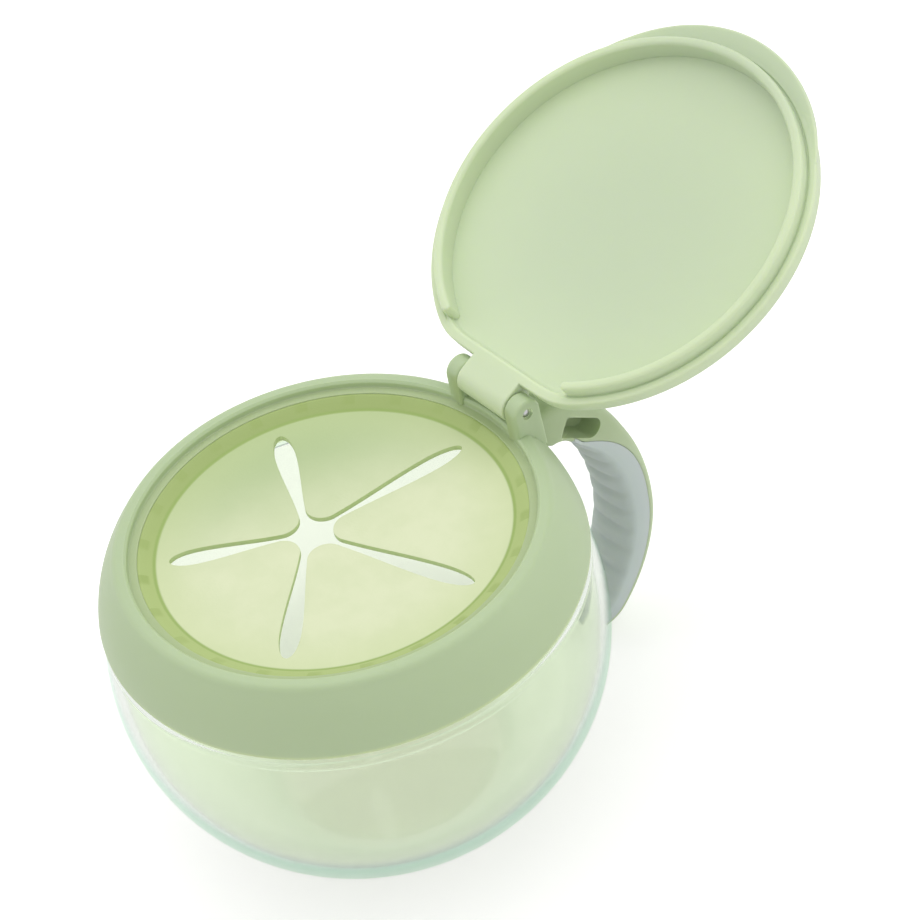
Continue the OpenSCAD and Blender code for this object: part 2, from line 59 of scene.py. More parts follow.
# Sizes of the cup and its collar
mouth_r = 42.1
rim_z = 75.0
collar_h = 13.7
skirt_z = rim_z - collar_h
shoulder_z = skirt_z - 0.4
neck_foot_z = shoulder_z + 1.6
bead_z = shoulder_z - 2.2
bead_half = 0.9
cup_r = mouth_r + 10.5
cup_widest_z = skirt_z - 17.4
cup_curve_h = cup_widest_z + 5
bowl_power = 2.06
cup_wall = 2.2
cup_floor = 3.4
neck_r = mouth_r + 1.3
neck_in_r = neck_r - cup_wall
thread_lead = 12.0
thread_starts = 3
thread_h = 1.2
thread_rise = 3.2
bore_r = neck_r + thread_h + 0.45
rim_r = mouth_r + 2.4
rim_crest_z = rim_z + 0.3
lip_r = mouth_r - 1.9
lip_top_z = rim_z - 1.4
lip_low_z = lip_top_z - 1.2
skirt_wall = 1.7

# Sizes of the insert and its flaps
flange_top_z = lip_low_z - 0.3
flange_low_z = flange_top_z - 1.2
neck_top_z = flange_low_z - 0.3
ring_out_r = neck_in_r - 0.3
ring_r = ring_out_r - 3.9
membrane_top_z = rim_z - 3.4
flap_t = 1.2
membrane_low_z = membrane_top_z - flap_t
flap_count = 5
slot_tip_r = ring_r - 3
slot_w = 4.4
slot_neck_w = 1.6
slot_wide_at = 0.8
slot_narrow_to = 0.15
flap_tip_r = 4.0
star = Vector((-4.8, -3.1))
notch_count = 24

# Sizes of the lid and the hinge
lid_r = mouth_r + 1.6
lid_rim_z = rim_z + 1.55
lid_edge_z = lid_rim_z + 3.4
lid_t = 1.6
lid_dome_h = 2.6
lid_rim_w = 2.3
plug_r = mouth_r - 0.4
plug_t = 2.1
plug_low_z = lip_top_z + 0.15
plug_open_angle = 53.0
thumb_out = 2.7
thumb_half_angle = 47.0
thumb_t = 1.7
thumb_drop = 1.2
hinge_y = mouth_r + 2.1
hinge_z = rim_z + 5.16
pin_r = 1.0
ear_r = 3.3
ear_t = 3.8
knuckle_half_w = 7.3
knuckle_r = hinge_z - lid_rim_z
ear_in_x = knuckle_half_w + 0.2
ear_out_x = ear_in_x + ear_t
pin_recess = 0.45
pin_recess_r = 1.3
lid_chord_y = hinge_y - ear_r - 0.35
hinge = next(joint for joint in frame["record"]["behaviour"]["joints"] if joint["name"] == "lid_hinge")
open_angle = radians(hinge["range_deg"][1])

# Sizes of the handle: its outer curve is three arcs that run into each other
handle_w = 14.0
arm_drop = 2.4
handle_bend_r = 16.0
handle_bend_angle = 34.5
handle_end_angle = 60.0
handle_end_z = 2.6
handle_out_y = cup_r + 22.6
handle_out_z = rim_z - 42
handle_top_z = rim_z - arm_drop
handle_rise = handle_top_z - handle_bend_r - handle_out_z
handle_upper_r = handle_bend_r + handle_rise / sin(radians(handle_bend_angle))
handle_lower_r = (handle_out_z - handle_end_z) / sin(radians(handle_end_angle))
upper_c = Vector((handle_out_y - handle_upper_r, handle_out_z))
lower_c = Vector((handle_out_y - handle_lower_r, handle_out_z))
bend_turn = Vector((cos(radians(handle_bend_angle)), sin(radians(handle_bend_angle))))
bend_c = upper_c + (handle_upper_r - handle_bend_r) * bend_turn
handle_depth_top = 10.0
handle_depth_mid = 8.6
handle_depth_end = 6.0
grip_angle = 37.0
strip_t = 1.4
strip_ease = 1.85
ridge_pitch = 6.5
ridge_h = 1.0

# How finely round things and flaps are divided
ROUND = 192
CORNER = 5
FLAP_ROWS = 26


def unit(a):
    """Flat vector of length 1 in direction a."""
    return Vector((cos(a), sin(a)))


def round_axis(r, z, a):
    """Point at radius r and height z, in direction a from the cup's axis."""
    return (r * cos(a), r * sin(a), z)


def round_pin(r, a):
    """Point (y, z) at radius r and angle a round the hinge pin."""
    return (hinge_y + r * cos(a), hinge_z + r * sin(a))


# Mesh tools


def new_piece(name, points, faces, sharp=35):
    """A mesh piece from points in millimetres, shaded smooth up to that angle."""
    mesh = bpy.data.meshes.new(name)
    mesh.from_pydata([Vector(p) * MM for p in points], [], faces)
    piece = bpy.data.objects.new(name, mesh)
    bpy.context.scene.collection.objects.link(piece)
    tidy_mesh(piece, sharp)
    return piece


def tidy_mesh(piece, sharp=35):
    """Joins doubled points, turns the faces outward and sets the shading."""
    shape = bmesh.new()
    shape.from_mesh(piece.data)
    bmesh.ops.remove_doubles(shape, verts=shape.verts, dist=2e-6)
    bmesh.ops.dissolve_degenerate(shape, edges=shape.edges, dist=1e-6)
    bmesh.ops.recalc_face_normals(shape, faces=shape.faces)
    shape.to_mesh(piece.data)
    shape.free()
    piece.data.shade_smooth()
    piece.data.set_sharp_from_angle(angle=radians(sharp))


def loft(name, rings, loop=False, sharp=35):
    """Skin over rings of points. Unless the rings make a loop, both ends are closed."""
    size = len(rings[0])
    count = len(rings)
    faces = []
    for i in range(count if loop else count - 1):
        here, there = size * i, size * ((i + 1) % count)
        for j in range(size):
            ahead = (j + 1) % size
            faces.append((here + j, here + ahead, there + ahead, there + j))
    if not loop:
        faces.append(tuple(range(size - 1, -1, -1)))
        faces.append(tuple(range(size * (count - 1), size * count)))
    return new_piece(name, [p for ring in rings for p in ring], faces, sharp)


def lathe(name, outline, angles=None, place=round_axis):
    """Closed outline of (radius, height) turned round the cup's axis, bent by place."""
    angles = angles or [tau * i / ROUND for i in range(ROUND)]
    return loft(name, [[place(p[0], p[1], a) for p in outline] for a in angles], loop=True)


def rounded(corners, steps=CORNER):
    """Closed outline from (u, v) points and (u, v, radius) corners, which become arcs."""
    points = []
    for i, corner in enumerate(corners):
        here = Vector(corner[:2])
        if len(corner) == 2 or corner[2] == 0:
            points.append(here)
            continue
        back = Vector(corners[i - 1][:2]) - here
        ahead = Vector(corners[(i + 1) % len(corners)][:2]) - here
        half = back.angle(ahead) / 2
        reach = min(corner[2] / tan(half), 0.49 * back.length, 0.49 * ahead.length)
        radius = reach * tan(half)
        back.normalize()
        ahead.normalize()
        centre = here + (back + ahead).normalized() * radius / sin(half)
        start = atan2(*reversed(here + back * reach - centre))
        turn = atan2(*reversed(here + ahead * reach - centre)) - start
        turn = (turn + pi) % tau - pi
        for k in range(steps + 1):
            a = start + turn * k / steps
            points.append(centre + radius * unit(a))
    return points


def inset(outline, amount):
    """Closed outline moved inward by that amount."""
    area = sum(p[0] * q[1] - q[0] * p[1] for p, q in zip(outline, outline[1:] + outline[:1]))
    side = 1 if area > 0 else -1
    moved = []
    for i, p in enumerate(outline):
        back = (Vector(p) - Vector(outline[i - 1])).normalized()
        ahead = (Vector(outline[(i + 1) % len(outline)]) - Vector(p)).normalized()
        normal = Vector((-(back + ahead)[1], (back + ahead)[0])).normalized() * side
        lean = max(0.4, normal.dot(Vector((-ahead[1], ahead[0])) * side))
        moved.append(Vector(p) + normal * amount / lean)
    return moved


def slab(name, outline, low, high, edge):
    """Outline of (y, z) given thickness along X from low to high, with round edges."""
    steps = 4
    rings = []
    turns = [pi / 2 * k / steps for k in range(steps + 1)]
    for side, x, order in ((1, low, turns[::-1]), (-1, high, turns)):
        for a in order:
            at = x + side * edge * (1 - sin(a))
            rings.append([(at, p[0], p[1]) for p in inset(outline, edge * (1 - cos(a)))])
    return loft(name, rings)


def combine(piece, tools, operation):
    """Joins tools to a piece, or cuts them out of it, and takes the tools away."""
    for tool in tools:
        step = piece.modifiers.new(operation, "BOOLEAN")
        step.operation = operation
        step.solver = "EXACT"
        step.object = tool
    bpy.context.view_layer.update()
    graph = bpy.context.evaluated_depsgraph_get()
    mesh = bpy.data.meshes.new_from_object(piece.evaluated_get(graph))
    piece.modifiers.clear()
    piece.data = mesh
    tidy_mesh(piece)
    for tool in tools:
        bpy.data.objects.remove(tool)
    return piece


# Cup and collar


def bowl_r(z, t=0.0):
    """Radius of the bowl at height z, for a curve inset by t."""
    share = min(1.0, abs(z - cup_widest_z) / (cup_curve_h - t))
    return (cup_r - t) * (1 - share ** bowl_power) ** (1 / bowl_power)


skirt_r = bowl_r(skirt_z) + 1.6


def smooth(t):
    """Share that grows softly from 0 to 1 with t."""
    k = min(1.0, max(0.0, t))
    return k * k * (3 - 2 * k)


def bend(a, b, c, t):
    """Point at share t of a curve from a to c that bends towards b."""
    return (1 - t) ** 2 * Vector(a) + 2 * t * (1 - t) * Vector(b) + t * t * Vector(c)


def thread_ring(wall_r, out, start_z):
    """Screw ridges on a wall, outward (1) or inward (-1), that begin between two seams of the lathe."""
    steps = 40
    sweep = 80.0
    sink = 0.3
    foot_half = 0.75
    crest_half = 0.38
    start = 180 / ROUND
    ridges = []
    for k in range(thread_starts):
        rings = []
        for i in range(steps + 1):
            grown = min(1.0, 5 * min(i, steps - i) / steps + 0.12)
            crest, half, foot = thread_h * grown, crest_half * grown, foot_half * grown
            a = radians(start + sweep * i / steps + 360 * k / thread_starts)
            z = start_z + thread_lead * sweep / 360 * i / steps
            corners = [(-sink, foot), (crest, half, 0.25), (crest, -half, 0.25), (-sink, -foot)]
            rings.append([round_axis(wall_r + out * p[0], z + p[1], a) for p in rounded(corners, steps=3)])
        ridges.append(loft("thread_ridge", rings))
    return ridges


def bowl_line(low, high, t=0.0, steps=64):
    """Points up the bowl's curve from low to high."""
    heights = [low + (high - low) * i / steps for i in range(steps + 1)]
    return [(bowl_r(z, t), z) for z in heights]


def make_cup():
    """Clear bowl with its flat foot, bead, shoulder and screw neck."""
    # Just clear of the table, so that the two faces don't flicker where they would meet
    foot_z = 0.03
    bead_out = 0.55
    flare = 1.6
    bead = []
    for a in range(10, 180, 16):
        z = bead_z - bead_half * cos(radians(a))
        bead.append((bowl_r(z) + bead_out * sin(radians(a)), z))
    foot = [(0, foot_z), (bowl_r(0.6) - 2.6, foot_z, 3)]
    neck = [(bowl_r(shoulder_z) - 0.2, shoulder_z, 0.4), (neck_r + flare, neck_foot_z - 0.5),
            (neck_r, neck_foot_z), (neck_r, neck_top_z, 0.5), (neck_in_r, neck_top_z, 0.5),
            (neck_in_r, neck_foot_z, 2.0), (neck_in_r + flare, shoulder_z, 2.0)]
    inside = bowl_line(shoulder_z - cup_wall / 2, cup_floor + 1, cup_wall)
    base = [(bowl_r(cup_floor, cup_wall) - 1.6, cup_floor, 1.6), (0, cup_floor)]
    bowl = bowl_line(1.6, bead_z - bead_half - 0.1)
    cup = lathe("cup_shell", rounded(foot + bowl + bead + neck + inside + base))
    return combine(cup, thread_ring(neck_r, 1, neck_foot_z + thread_rise), "UNION")


def collar_flank():
    """Outside of the collar, from the skirt's lower edge up to the rim's crest."""
    low = Vector((skirt_r, skirt_z + 0.5))
    shoulder = Vector((rim_r + 1.1, rim_z - 1))
    crest = Vector((rim_r - 0.7, rim_crest_z))
    belly = (low + shoulder) / 2 + Vector((1.5, 0.6))
    turn = (rim_r + 0.4, rim_crest_z)
    flank = [bend(low, belly, shoulder, i / 24) for i in range(25)]
    return flank + [bend(shoulder, turn, crest, i / 8) for i in range(1, 9)]


def ear(side):
    """Hinge ear: a rounded tab that grows out of the collar's rim."""
    lean = 2.0
    low_z = 69.5
    front_z = lip_top_z - 0.5
    buried_y = 44.75
    turn = [round_pin(ear_r, radians(180 - (180 - lean) * i / 20)) for i in range(21)]
    rear_y = turn[-1][0] + (turn[-1][1] - low_z) * tan(radians(lean))
    outline = [(hinge_y - ear_r, front_z)] + turn + [(rear_y, low_z), (buried_y, low_z), (buried_y, front_z)]
    low, high = sorted((side * ear_in_x, side * ear_out_x))
    return slab("ear", outline, low, high, 0.6)


def bore(radius, low, high):
    """Round tool along the hinge pin."""
    turns = [tau * i / 40 for i in range(40)]
    return loft("bore", [[(x, *round_pin(radius, a)) for a in turns] for x in (low, high)])


def make_collar():
    """Screw collar: skirt, rounded rim, ledge, inner thread and hinge ears."""
    gap_top_z = skirt_z + 6
    web = neck_foot_z + 0.4
    skirt_in_r = skirt_r - skirt_wall
    skirt_edge = [(skirt_in_r, skirt_z, 0.4), (skirt_r - 0.15, skirt_z, 0.5)]
    mouth = [(mouth_r + 0.55, rim_crest_z), (mouth_r, rim_z - 0.2, 0.5), (mouth_r, lip_top_z, 0.35),
             (lip_r, lip_top_z, 0.2), (lip_r, lip_low_z)]
    inside = [(bore_r, lip_low_z, 0.4), (bore_r, web, 0.3), (bore_r + skirt_wall, web, 0.3),
              (bore_r + skirt_wall, gap_top_z, 0.6), (skirt_in_r - 1.6, gap_top_z - 1, 0.8),
              (skirt_in_r, skirt_z + 2)]
    collar = lathe("collar_shell", rounded(skirt_edge + collar_flank() + mouth + inside))
    start_z = neck_foot_z + thread_rise - thread_lead / thread_starts / 2
    combine(collar, thread_ring(bore_r, -1, start_z) + [ear(1), ear(-1)], "UNION")
    far = ear_out_x + 2
    near = ear_out_x - pin_recess
    holes = [(pin_r + 0.03, -far, far), (pin_recess_r, near, far), (pin_recess_r, -far, -near)]
    return combine(collar, [bore(*hole) for hole in holes], "DIFFERENCE")


def make_pin():
    """Steel hinge pin with domed ends."""
    half_l = ear_out_x - pin_recess
    dome = [(0.0, 0.0), (0.4, 0.05), (0.7, 0.16), (0.9, 0.32), (pin_r, 0.55)]
    profile = [(r, half_l - back) for r, back in dome]
    rings = []
    for r, x in profile + [(r, -x) for r, x in reversed(profile)]:
        rings.append([(x, *round_pin(r, tau * i / 32)) for i in range(32)])
    return loft("pin_steel", rings)


# Handle and grip


def handle_out(a):
    """Point of the handle's outer curve at angle a."""
    if a >= handle_bend_angle:
        centre, r = bend_c, handle_bend_r
    elif a >= 0:
        centre, r = upper_c, handle_upper_r
    else:
        centre, r = lower_c, handle_lower_r
    return centre + r * unit(radians(a))


def end_f(a):
    """Share of its width that the handle keeps near its lower end."""
    narrow_angle = 10
    past = narrow_angle - handle_end_angle - a
    return 1 - 0.2 * (past / narrow_angle) ** 2 if past > 0 else 1.0


def handle_depth(a):
    """Depth of the handle below its outer curve."""
    if a > grip_angle:
        return handle_depth_top
    if a > 0:
        return handle_depth_mid + (handle_depth_top - handle_depth_mid) * a / grip_angle
    return (handle_depth_mid + (handle_depth_end - handle_depth_mid) * -a / handle_end_angle) * end_f(a)


def strip_depth(a):
    """Depth of the green strip outside the grip."""
    if a > 0:
        share = (min(a, grip_angle) / grip_angle) ** strip_ease
        return strip_t + (handle_depth_top - strip_t) * smooth(share)
    return strip_t * (1 + 0.5 * a / handle_end_angle)


def half_w(a):
    """Half the handle's width at angle a."""
    return handle_w / 2 * end_f(a)


def core_top(a):
    """Depth at which the green strip ends and the grip begins."""
    return min(strip_depth(a), handle_depth(a) - 1.2)


def frame_section(a, extra=0.0):
    """Section of the arm and its bend, deepened by extra."""
    w = half_w(a)
    deep = handle_depth(a) + extra
    return rounded([(-w, deep, 1.2), (-w, 0, 2.0), (w, 0, 2.0), (w, deep, 1.2)])


def at_angle(section, a, out=None):
    """Section points put in their place on the handle."""
    out = out or handle_out(a)
    return [(p[0], out[0] - p[1] * cos(radians(a)), out[1] - p[1] * sin(radians(a))) for p in section]


def make_handle():
    """Green frame of the handle: arm, bend, outer strip, and a pocket in each side."""
    arm_slope = 0.65
    arm_steps = 9
    bend_steps = 28
    top_z = handle_out(90)[1]
    run = bend_c[0] - hinge_y
    rings = []
    for i in range(arm_steps):
        y = hinge_y + run * i / arm_steps
        rings.append(at_angle(frame_section(90, -arm_slope * (bend_c[0] - y)), 90, Vector((y, top_z))))
    for i in range(bend_steps):
        a = 90 - (90 - grip_angle) * i / bend_steps
        rings.append(at_angle(frame_section(a), a))
    body = loft("handle_frame", rings)
    buried = [(0, skirt_z - 3), (skirt_r - 0.6, skirt_z - 3)] + inset_flank(0.2) + [(0, rim_crest_z - 0.4)]
    combine(body, [make_strip()], "UNION")
    return combine(body, [lathe("buried", buried), pocket(1), pocket(-1)], "DIFFERENCE")


def inset_flank(amount):
    """Outside of the collar moved inward by that amount."""
    return [(p[0] - amount, p[1] - 0.3 * amount) for p in collar_flank()]


def make_strip():
    """Strip outside the grip, from the bend down to the handle's end."""
    count = 60
    start = grip_angle + 2
    rings = []
    for i in range(count + 1):
        a = start - (start + handle_end_angle) * i / count
        w = half_w(a)
        top = core_top(a)
        e = min(2.0, 0.85 * top)
        lower = min(0.35, 0.3 * top)
        section = rounded([(-w, top, lower), (-w, 0, e), (w, 0, e), (w, top, lower)])
        rings.append(at_angle(section, a))
    return loft("strip", rings)


def pocket(side):
    """Tool for the pocket in the arm's side: sharp and slanted at the collar end, round at the other."""
    blunt, keen = 2.4, 0.7
    outline = rounded([(54.0, 63.6, keen), (62.9, 57.4, blunt), (65.4, 61.5, blunt), (56.5, 67.9, keen)])
    deep = handle_w / 2 - 5.6
    low, high = sorted((side * deep, side * (handle_w / 2 + 2)))
    return slab("pocket", outline, low, high, 0.3)


def make_grip():
    """Soft grip on the inside of the handle, with finger ridges."""
    top_s = -radians(grip_angle) * handle_upper_r
    end_s = radians(handle_end_angle) * handle_lower_r
    count = 190
    crown_steps = 16
    ridge_power = 2.2
    full_depth = 6
    clear_gap = 0.04
    tuck = 0.05
    rings = []
    for i in range(count + 1):
        s = top_s + (end_s - top_s) * i / count
        a = degrees(-s / (handle_upper_r if s < 0 else handle_lower_r))
        w = half_w(a)
        top = core_top(a) + clear_gap
        d = handle_depth(a)
        crown = 0.5 * (d - top)
        wave = 0.5 + 0.5 * cos(tau * s / ridge_pitch)
        ridge = ridge_h * (1 - (1 - wave) ** ridge_power)
        section = [(w - tuck, top)]
        for k in range(crown_steps + 1):
            t = pi * k / crown_steps
            fall = (ridge_h - ridge) * sin(t) ** 2 * min(1, (d - top) / full_depth)
            section.append((w * cos(t), d - crown + crown * sin(t) - fall))
        section.append((tuck - w, top))
        rings.append(at_angle(section, a))
    return loft("grip_rubber", rings, sharp=50)


# Lid


def dome_h(r):
    """Rise of the lid's dome at radius r."""
    return lid_dome_h * (1 - (r / lid_r) ** 2)


def lid_place(r, z, a):
    """Point of the lid, whose round edge gives way to a straight one at the hinge."""
    corner = 0.7
    still_r = 18
    if sin(a) > 0.5:
        chord = lid_chord_y / sin(a)
        edge_r = -corner * log(exp(-lid_r / corner) + exp(-chord / corner))
        r -= (lid_r - edge_r) * smooth((r - still_r) / still_r)
    return round_axis(r, z, a)


def turned_open(piece):
    """Lid part drawn closed, turned about the pin to where it stands open."""
    pin = Vector((0, hinge_y, hinge_z)) * MM
    turn = Matrix.Translation(pin) @ Matrix.Rotation(-open_angle, 4, "X") @ Matrix.Translation(-pin)
    piece.data.transform(turn)
    return piece


def plug_wall():
    """Wall that closes the mouth: open at the hinge, with rounded ends."""
    foot_z = lid_edge_z - lid_t + dome_h(plug_r) + 0.4
    gap = radians(plug_open_angle / 2)
    start = pi / 2 + gap
    sweep = tau - 2 * gap
    mid_r = plug_r - plug_t / 2
    cap = plug_t / 2 / mid_r
    steps = 150
    turns = [pi / 2 * k / 6 for k in range(1, 7)]
    stops = [(start + cap * (1 - cos(t)), sin(t)) for t in turns]
    body = [(start + cap + (sweep - 2 * cap) * k / steps, 1.0) for k in range(1, steps)]
    ends = [(2 * start + sweep - a, w) for a, w in reversed(stops)]
    rings = []
    for a, width in stops + body + ends:
        half = plug_t / 2 * width
        low = plug_low_z + 0.8 * (1 - width) ** 2
        section = rounded([(mid_r - half, low, 0.85 * half), (mid_r + half, low, 0.7 * half),
                           (mid_r + half, foot_z), (mid_r - half, foot_z)])
        rings.append([round_axis(*p, a) for p in section])
    return loft("plug_wall", rings)


def thumb_lip():
    """Crescent at the front, sloping down past the collar's rim."""
    tip = lid_r + thumb_out
    half = radians(thumb_half_angle)
    side = (lid_r * sin(half), lid_r * cos(half))
    back = (tip * tip - side[0] ** 2 - side[1] ** 2) / (2 * (tip - side[1]))
    big = tip - back
    top = lid_rim_z + 0.1 + thumb_t
    rings = []
    steps = 60
    for k in range(steps + 1):
        t = half * (2 * k / steps - 1)
        out_r = back * cos(t) + sqrt(big * big - (back * sin(t)) ** 2)
        reach = max(0.0, out_r - lid_r)
        drop = thumb_drop * reach / thumb_out
        thick = min(thumb_t, 0.5 + reach) if reach > 0 else 0.4
        a = t - pi / 2
        section = rounded([(lid_r - 0.9, lid_rim_z + 0.15), (lid_r + reach, lid_rim_z - drop, 0.4),
                           (lid_r + reach, lid_rim_z - drop + 0.85 * thick, 0.6), (lid_r - 0.9, top)])
        rings.append([round_axis(*p, a) for p in section])
    return loft("thumb_lip", rings)


def knuckle():
    """Barrel round the pin and the tab that joins it to the lid's straight edge."""
    steps = 28
    turn = [round_pin(knuckle_r, radians(-90 + 215 * i / steps)) for i in range(steps + 1)]
    inner_y = lid_chord_y - 1.2
    outline = [(inner_y, lid_rim_z)] + turn + [(inner_y, lid_edge_z + 0.5)]
    return slab("knuckle", outline, -knuckle_half_w, knuckle_half_w, 0.4)


def make_lid():
    """Domed lid with its rim, groove, dish, plug wall, knuckle and thumb lip."""
    rim_in_r = lid_r - lid_rim_w
    steps = 40
    groove_r = plug_r + 0.25
    groove_h = 0.4
    groove_reach = 0.56
    rear_round = 0.9
    crown = [(lid_r - 1.6) * i / steps for i in range(steps + 1)]
    top = [(r, lid_edge_z + dome_h(r)) for r in crown]
    dish_r = rim_in_r - 2.2
    dish = [(r, lid_edge_z - lid_t + dome_h(r)) for r in [dish_r * (1 - i / steps) for i in range(steps + 1)]]
    edge = [(lid_r - 0.1, lid_edge_z - 0.05, 1.3), (lid_r, lid_rim_z, 0.45)]
    groove = [(groove_r + 0.25, lid_rim_z, 0.25), (groove_r + 0.2, lid_rim_z + groove_h, 0.15),
              (groove_r - 0.2, lid_rim_z + groove_h, 0.15), (groove_r - 0.25, lid_rim_z, 0.1)]
    step = [(rim_in_r, lid_rim_z, 0.9), (rim_in_r - 0.4, lid_edge_z - lid_t + 0.1, 1.2)]

    def place(r, z, a):
        """At the hinge the groove gives way to a rim with a round inner edge."""
        rear = smooth((0.5 - abs(a % tau - pi / 2)) / 0.06)
        if rear > 0 and z < lid_rim_z + 1 and rim_in_r - 0.6 < r < groove_r + groove_reach:
            share = min(1.0, max(0.0, (groove_r + 0.1 - r) / rear_round))
            level = lid_rim_z if abs(r - groove_r) < groove_reach else z
            level = max(level, lid_rim_z + rear_round * (1 - sqrt(1 - share * share)))
            z += (level - z) * rear
        return lid_place(r, z, a)

    lid = lathe("lid_shell", rounded(top + edge + groove + step + dish), place=place)
    combine(lid, [plug_wall(), thumb_lip(), knuckle()], "UNION")
    combine(lid, [bore(pin_r + 0.08, -knuckle_half_w - 1, knuckle_half_w + 1)], "DIFFERENCE")
    return turned_open(lid)


# Insert and flaps


def slot_tip(i):
    """Outer end of slot i, where two flaps' root lines meet."""
    return slot_tip_r * unit(radians(90 + 360 * i / flap_count))


def slot_half(t):
    """Half the width of a slot at share t of its length."""
    if t < slot_wide_at:
        grown = smooth((t - slot_narrow_to) / (slot_wide_at - slot_narrow_to))
        return (slot_neck_w + (slot_w - slot_neck_w) * grown) / 2
    return slot_w / 2 * sqrt(max(0.0, 1 - ((t - slot_wide_at) / (1 - slot_wide_at)) ** 2))


def left_of(v):
    """Unit direction to the left of v."""
    return Vector((-v[1], v[0])).normalized()


def slot_point(i, side, t):
    """Point on the left (1) or right (-1) side of slot i at share t of its length."""
    run = slot_tip(i) - star
    return star + run * t + left_of(run) * side * slot_half(t)


def chord_cross(i, side):
    """Share of slot i's length where its side meets the root line of the flap on that side."""
    far = slot_tip(i + side)
    here = slot_tip(i)
    out = left_of(far - here) * -side
    halvings = 40
    low, high = slot_wide_at, 1.0
    for _ in range(halvings):
        mid = (low + high) / 2
        if (slot_point(i, side, mid) - here).dot(out) > 0:
            high = mid
        else:
            low = mid
    return low


def flap_sides(i):
    """Both sides of flap i, from its root to the middle of its rounded tip."""
    u = (slot_tip(i) - star).normalized()
    v = (slot_tip(i + 1) - star).normalized()
    half = acos(u.dot(v)) / 2
    tip_in = slot_neck_w / 2 + flap_tip_r
    mid = star + (u + v).normalized() * tip_in / sin(half)
    start = atan2(-left_of(u)[1], -left_of(u)[0])
    turn = pi - 2 * half
    sides = []
    for k, side in ((i, 1), (i + 1, -1)):
        edge = chord_cross(k, side)
        reach = tip_in / tan(half) / (slot_tip(k) - star).length
        sides.append([slot_point(k, side, edge + (reach - edge) * n / FLAP_ROWS) for n in range(FLAP_ROWS)])
    steps = 8
    for n in range(steps + 1):
        a = turn / 2 * n / steps
        sides[0].append(mid + flap_tip_r * unit(start - a))
        sides[1].append(mid + flap_tip_r * unit(start - turn + a))
    return sides


def make_flap(i):
    """Flap i: a sheet from its straight root to its rounded tip, in rows along the root."""
    left, right = flap_sides(i)
    columns = 16
    shares = [k / columns for k in range(columns + 1)]
    flat = [a.lerp(b, t) for a, b in zip(left[:FLAP_ROWS], right[:FLAP_ROWS]) for t in shares]
    flat += left[FLAP_ROWS:] + right[-2:FLAP_ROWS - 1:-1]
    points = [(p[0], p[1], z) for z in (membrane_top_z, membrane_low_z) for p in flat]
    size = columns + 1
    last = size * (FLAP_ROWS - 1)
    layer = len(flat)
    faces = []
    for r in range(FLAP_ROWS - 1):
        for c in range(columns):
            at = size * r + c
            faces.append((at, at + 1, at + size + 1, at + size))
            faces.append((layer + at, layer + at + size, layer + at + size + 1, layer + at + 1))
    nose = list(range(last + size, layer))
    cover = list(range(last, last + size)) + nose[::-1]
    faces += [tuple(cover), tuple(layer + at for at in reversed(cover))]
    rim = [size * r for r in range(FLAP_ROWS)] + nose
    rim += [size * r + columns for r in range(FLAP_ROWS - 1, -1, -1)] + list(range(columns - 1, 0, -1))
    for k, at in enumerate(rim):
        to = rim[(k + 1) % len(rim)]
        faces.append((at, to, layer + to, layer + at))
    flap = new_piece("flap_sheet_%d" % (i + 1), points, faces)
    soften_edges(flap, slot_tip(i), slot_tip(i + 1))
    return flap


def soften_edges(flap, a, b):
    """Rounds a flap's edges, but not those on its root line from a to b."""
    width = 0.22
    shape = bmesh.new()
    shape.from_mesh(flap.data)
    across_root = left_of(b - a)
    sharp = []
    for edge in shape.edges:
        ends = [v.co for v in edge.verts]
        if len(edge.link_faces) != 2 or edge.calc_face_angle() < 1.0 or abs(ends[0].z - ends[1].z) >= 1e-5:
            continue
        if max(abs((Vector(end[:2]) / MM - a).dot(across_root)) for end in ends) > 0.01:
            sharp.append(edge)
    bmesh.ops.bevel(shape, geom=sharp, offset=width * MM, segments=2, profile=0.6, affect="EDGES")
    shape.to_mesh(flap.data)
    shape.free()
    tidy_mesh(flap, 50)


def hole_outline():
    """Edge of the opening in the membrane's ring: slot ends joined by the flaps' root lines."""
    end_steps = 6
    root_steps = 24
    points = []
    for i in range(flap_count):
        right, left = chord_cross(i, -1), chord_cross(i, 1)
        points += [slot_point(i, -1, right + (1 - right) * k / end_steps) for k in range(end_steps + 1)]
        points += [slot_point(i, 1, 1 + (left - 1) * k / end_steps) for k in range(1, end_steps + 1)]
        far = slot_point(i + 1, -1, chord_cross(i + 1, -1))
        points += [points[-1].lerp(far, k / root_steps) for k in range(1, root_steps)]
    return points


